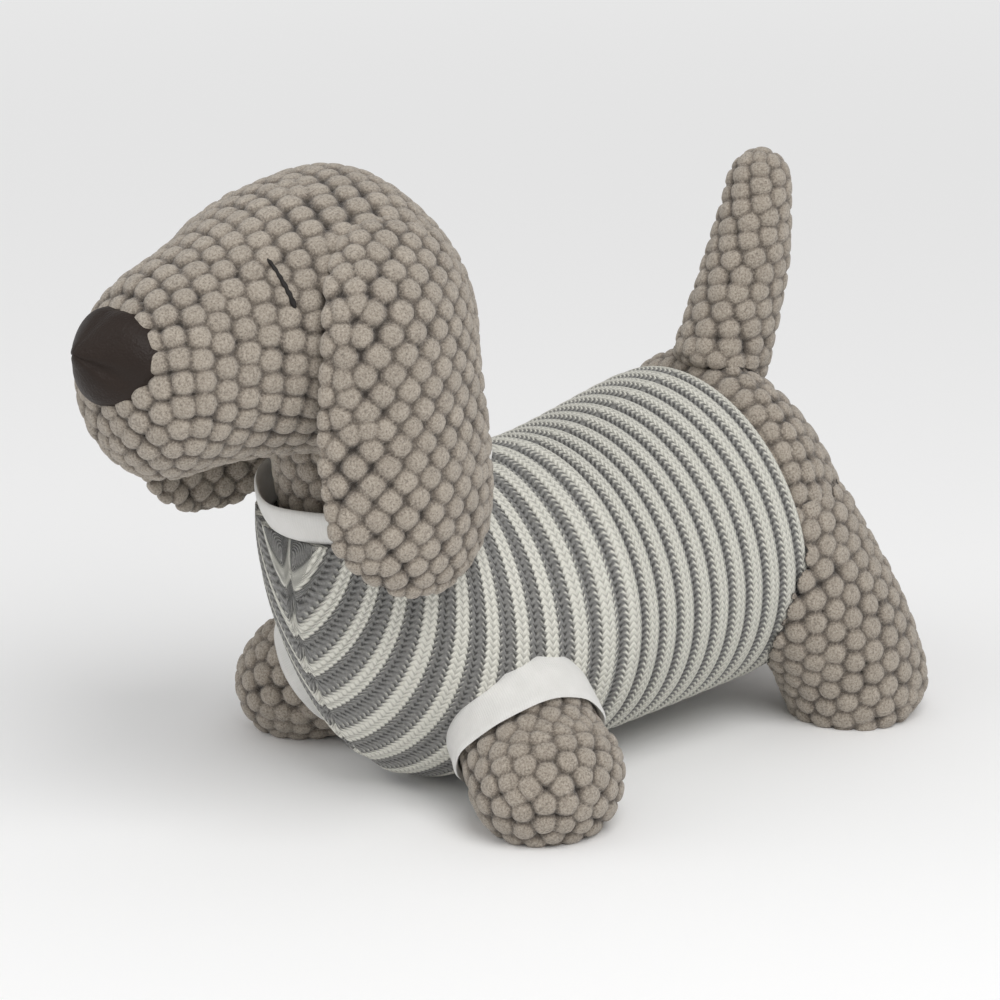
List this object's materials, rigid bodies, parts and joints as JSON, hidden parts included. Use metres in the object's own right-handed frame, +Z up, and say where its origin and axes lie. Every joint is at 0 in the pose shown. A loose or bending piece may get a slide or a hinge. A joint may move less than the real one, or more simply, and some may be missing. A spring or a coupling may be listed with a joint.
{
  "type": "weighted fabric door stop",
  "caption": "Stuffed long-eared hound in bobble plush and a ribbed jumper, weighted with sand, that lies on the floor and holds a door.",
  "frame": {"origin": "middle of the bounding box on the floor, under the belly", "axes": "+X towards the nose, +Y towards the hound's left side, +Z up"},
  "size_m": [0.3526, 0.1902, 0.2382],
  "materials": {
    "bobble_plush": "cut bobble pile, matt",
    "rib_knit": "pale ribs with grey courses between them",
    "white_jersey": "smooth jersey",
    "nose_leather": "soft sheen",
    "dark_thread": "twisted thread",
    "pouch_cotton": "plain woven cotton"
  },
  "bodies": {
    "root": {"trunk": "bobble_plush", "sand_pouch": "pouch_cotton", "head": "bobble_plush", "ear_left": "bobble_plush", "ear_right": "bobble_plush", "nose": "nose_leather", "eye_stitch_left": "dark_thread", "eye_stitch_right": "dark_thread", "tail": "bobble_plush", "foreleg_left": "bobble_plush", "foreleg_right": "bobble_plush", "hind_leg_left": "bobble_plush", "hind_leg_right": "bobble_plush", "jumper": "rib_knit", "collar": "white_jersey", "cuff_left": "white_jersey", "cuff_right": "white_jersey"}
  },
  "joints": []
}
